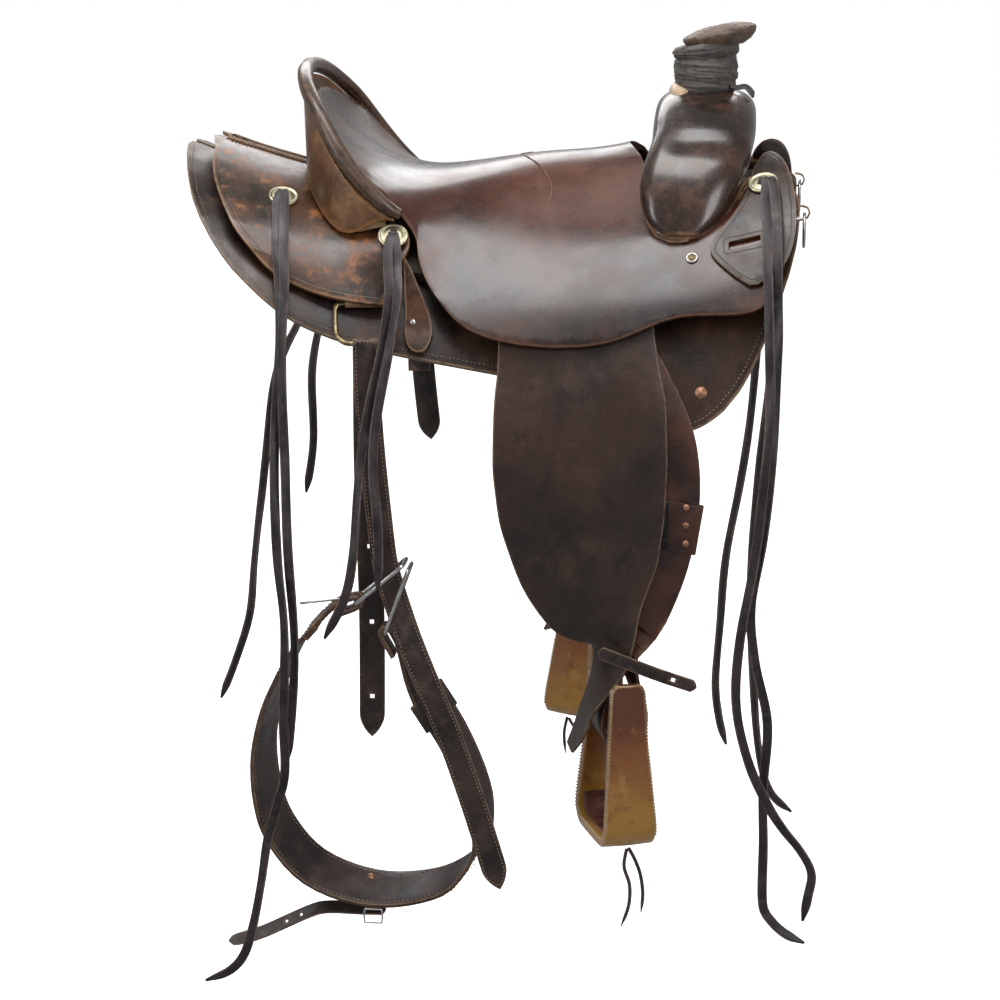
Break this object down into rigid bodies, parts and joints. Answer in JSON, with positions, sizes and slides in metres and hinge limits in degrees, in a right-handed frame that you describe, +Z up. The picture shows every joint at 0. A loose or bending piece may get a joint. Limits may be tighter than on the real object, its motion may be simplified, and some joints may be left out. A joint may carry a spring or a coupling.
{
  "type": "western saddle",
  "caption": "Stock saddle with horn and high cantle, square skirts, hanging fenders, rawhide bell stirrups, tied saddle strings and a flank cinch hung folded on its billet.",
  "frame": {"origin": "lowest point of the backbone line, on the centre plane, at the level of the skirts' undersides: where the middle of the saddle's back line rests on its rack or horse", "axes": "+X towards the horse's head, +Y to the horse's left, +Z up"},
  "size_m": [0.8119, 0.639, 1.1182],
  "materials": {
    "brass": "tarnished",
    "fender_leather": "satin, pebbled",
    "horn_wrap": "wrinkled, matt",
    "jockey_leather": "worn, semi-gloss",
    "nickel": "tarnished",
    "rawhide": "rawhide, satin",
    "seat_leather": "polished",
    "skirt_leather": "worn, satin",
    "steel": "worn",
    "stirrup_rawhide": "rawhide over wood, gloss",
    "strap_leather": "worn, matt",
    "string_leather": "worn, matt"
  },
  "bodies": {
    "saddle": {"tree_bar_right": "rawhide", "tree_bar_left": "rawhide", "tree_fork": "rawhide", "fork_cover": "seat_leather", "tree_cantle": "rawhide", "horn": "steel", "horn_wrap": "horn_wrap", "horn_cap": "seat_leather", "seat": "seat_leather", "ground_seat": "steel", "cantle_binding": "seat_leather", "cantle_back": "jockey_leather", "skirt_right": "skirt_leather", "rear_jockey_right": "jockey_leather", "latigo_keeper_right": "skirt_leather", "rear_tab_right": "strap_leather", "rear_rigging_right": "strap_leather", "concho_rear_right": "nickel", "concho_middle_right": "nickel", "concho_front_right": "nickel", "breast_tab_right": "strap_leather", "skirt_left": "skirt_leather", "rear_jockey_left": "jockey_leather", "latigo_keeper_left": "skirt_leather", "rear_tab_left": "strap_leather", "rear_rigging_left": "strap_leather", "concho_rear_left": "nickel", "concho_middle_left": "nickel", "concho_front_left": "nickel", "breast_tab_left": "strap_leather", "string_rear_right": "string_leather", "string_rear_left": "string_leather", "string_middle_right": "string_leather", "string_middle_left": "string_leather", "string_front_right": "string_leather", "string_front_left": "string_leather"},
    "leathers_right": {"fender_right": "fender_leather", "stirrup_leather_right": "strap_leather", "buckle_sleeve_right": "strap_leather", "hobble_strap_right": "strap_leather"},
    "stirrup_swing_right": {"stirrup_right": "stirrup_rawhide", "stirrup_bolt_right": "steel"},
    "breast_ring_swing_right": {"breast_ring_right": "steel"},
    "rear_dee_swing_right": {"rear_dee_right": "brass"},
    "leathers_left": {"fender_left": "fender_leather", "stirrup_leather_left": "strap_leather", "buckle_sleeve_left": "strap_leather", "hobble_strap_left": "strap_leather"},
    "stirrup_swing_left": {"stirrup_left": "stirrup_rawhide", "stirrup_bolt_left": "steel"},
    "breast_ring_swing_left": {"breast_ring_left": "steel"},
    "rear_dee_swing_left": {"rear_dee_left": "brass"},
    "flank_set_right": {"flank_billet_right": "strap_leather", "flank_cinch": "strap_leather", "cinch_buckle_free": "steel", "cinch_buckle_hung": "steel", "connecting_strap": "strap_leather"},
    "flank_set_left": {"flank_billet_left": "strap_leather"},
    "free_tongue": {"cinch_tongue_free": "steel"}
  },
  "joints": [
    {"name": "leathers_swing_right", "type": "hinge", "parent": "saddle", "child": "leathers_right", "pos_m": [0.118, -0.2157, -0.0883], "axis": [-0.0368, -0.7925, 0.6088], "range_deg": [-6, 3]},
    {"name": "leathers_swing_left", "type": "hinge", "parent": "saddle", "child": "leathers_left", "pos_m": [0.083, 0.2157, -0.0883], "axis": [0.0368, -0.7925, -0.6088], "range_deg": [-6, 6]},
    {"name": "stirrup_turn_right", "type": "hinge", "parent": "leathers_right", "child": "stirrup_swing_right", "pos_m": [0.1435, -0.25, -0.588], "axis": [0.342, -0.9397, 0], "range_deg": [-30, 30]},
    {"name": "stirrup_turn_left", "type": "hinge", "parent": "leathers_left", "child": "stirrup_swing_left", "pos_m": [0.07938, 0.24918, -0.58869], "axis": [0.3012, 0.9533, -0.0202], "range_deg": [-30, 30]},
    {"name": "breast_ring_hinge_right", "type": "hinge", "parent": "saddle", "child": "breast_ring_swing_right", "pos_m": [0.3495, -0.17699, 0.016], "axis": [0, -1, 0], "range_deg": [0, 45]},
    {"name": "breast_ring_hinge_left", "type": "hinge", "parent": "saddle", "child": "breast_ring_swing_left", "pos_m": [0.3495, 0.17699, 0.016], "axis": [0, -1, 0], "range_deg": [0, 45]},
    {"name": "rear_dee_hinge_right", "type": "hinge", "parent": "saddle", "child": "rear_dee_swing_right", "pos_m": [-0.1525, -0.21759, -0.08886], "axis": [-0.9852, -0.1712, 0], "range_deg": [0, 0.8]},
    {"name": "rear_dee_hinge_left", "type": "hinge", "parent": "saddle", "child": "rear_dee_swing_left", "pos_m": [-0.1525, 0.21759, -0.08886], "axis": [0.9852, -0.1712, 0], "range_deg": [0, 25]},
    {"name": "flank_set_hinge_right", "type": "hinge", "parent": "rear_dee_swing_right", "child": "flank_set_right", "pos_m": [-0.14689, -0.24988, -0.13052], "axis": [-0.9852, -0.1712, 0], "range_deg": [-1.5, 0.6]},
    {"name": "flank_billet_hinge_left", "type": "hinge", "parent": "rear_dee_swing_left", "child": "flank_set_left", "pos_m": [-0.14689, 0.24988, -0.13052], "axis": [0.9852, -0.1712, 0], "range_deg": [-2, 25]},
    {"name": "free_tongue_hinge", "type": "hinge", "parent": "flank_set_right", "child": "free_tongue", "pos_m": [-0.158, -0.272, -0.429], "axis": [0, 1, 0], "range_deg": [0, 75]}
  ]
}
